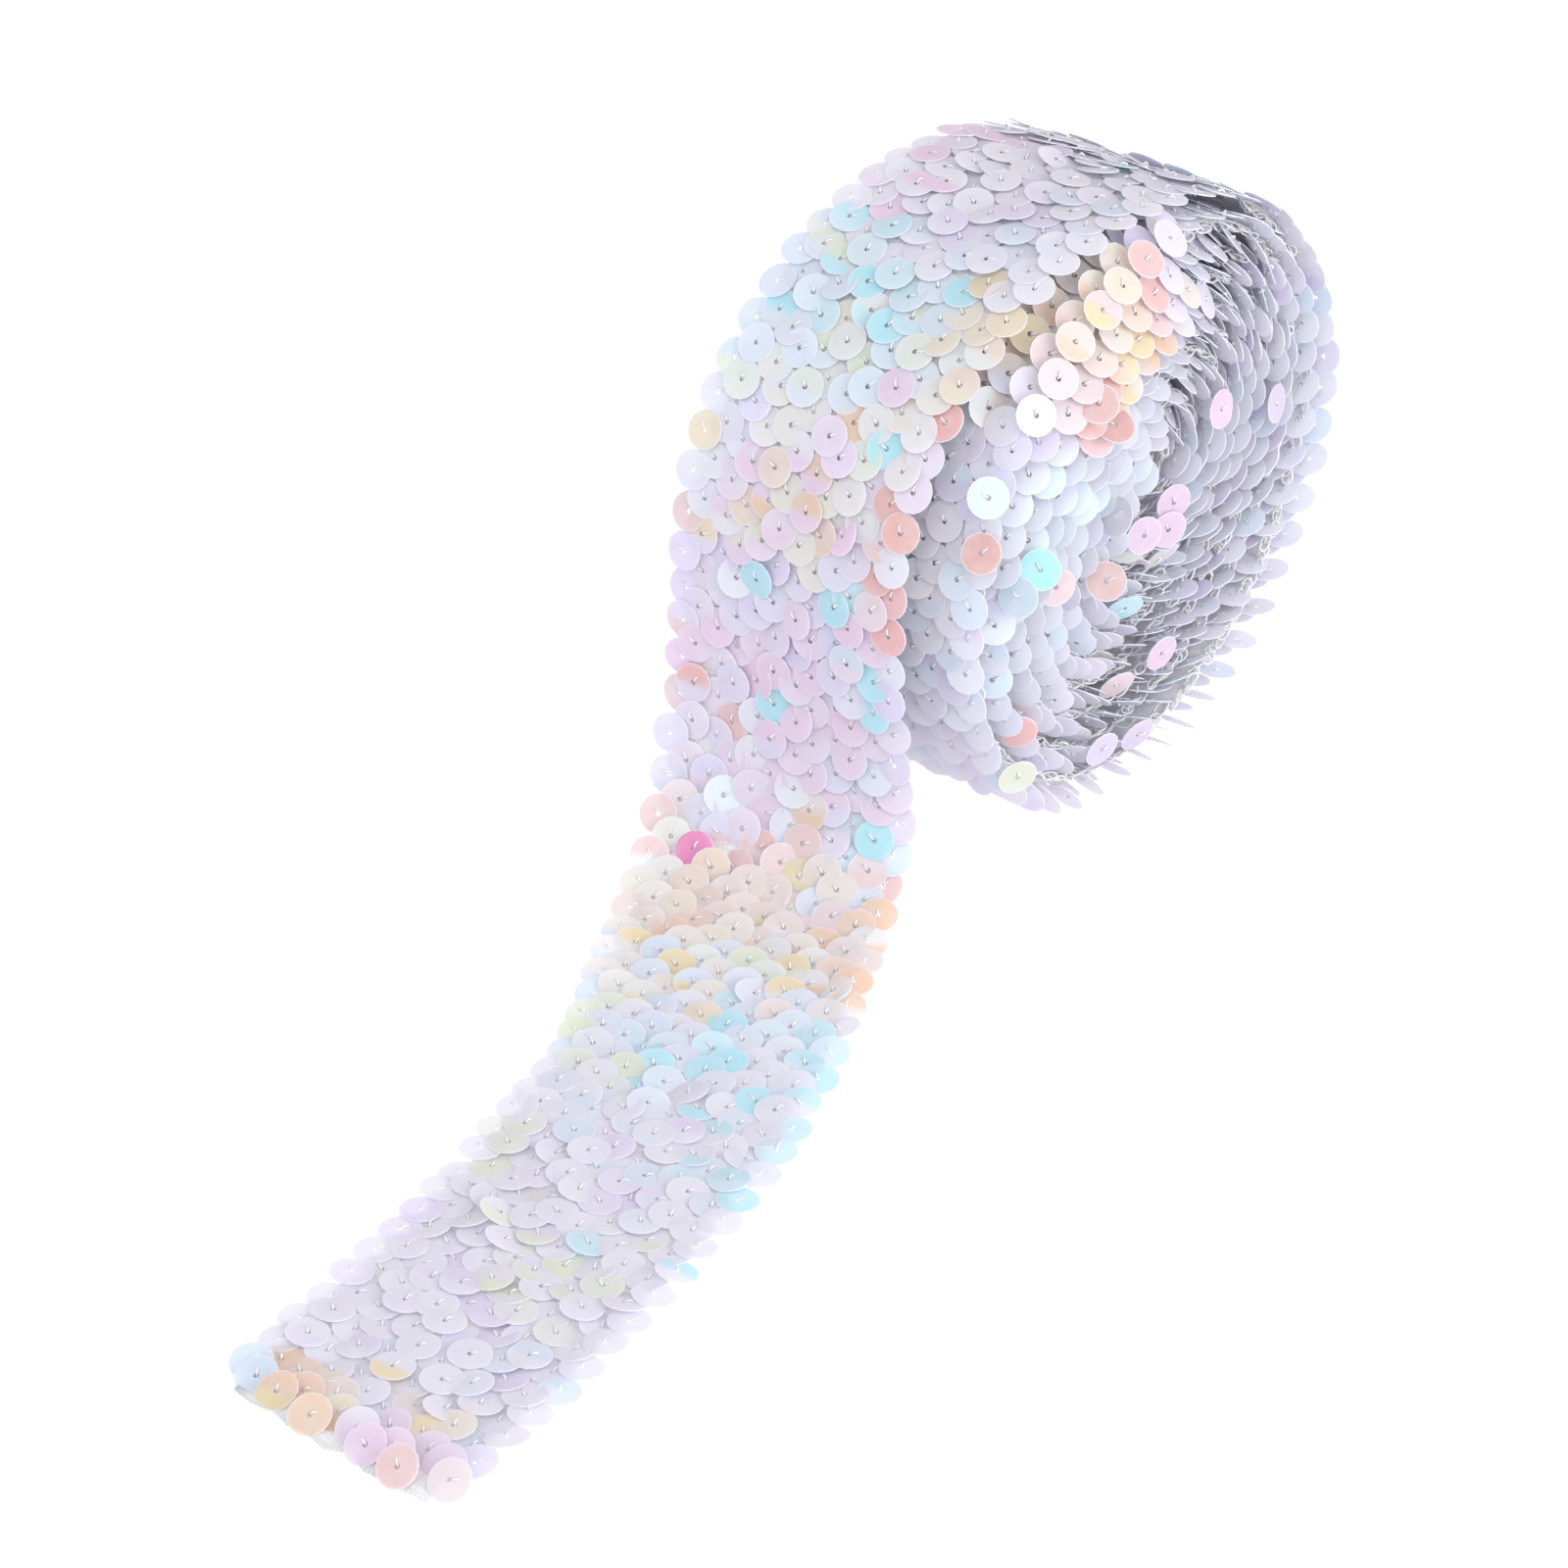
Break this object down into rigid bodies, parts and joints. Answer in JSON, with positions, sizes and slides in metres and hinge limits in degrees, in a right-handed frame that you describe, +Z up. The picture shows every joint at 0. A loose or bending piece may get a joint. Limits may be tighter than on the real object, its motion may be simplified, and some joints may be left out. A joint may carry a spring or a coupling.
{
  "type": "wound roll of sequin trim with a loose end",
  "caption": "Roll of pearly sequin trim standing on its edge, its loose end hung over the front and laid along the surface.",
  "frame": {"origin": "centre of the footprint, on the surface that the roll stands on", "axes": "+Z up; +X along the roll's axis, out of the side that shows the turns; the loose end runs towards -Y"},
  "size_m": [0.0808, 0.2418, 0.0951],
  "materials": {
    "pearl_sequin": "white pearl sequins with a rainbow film, overlapped like tiles",
    "ground_and_thread": "white translucent ground with glossy clear thread"
  },
  "bodies": {
    "root": {"sequin_trim": "pearl_sequin"}
  },
  "joints": []
}
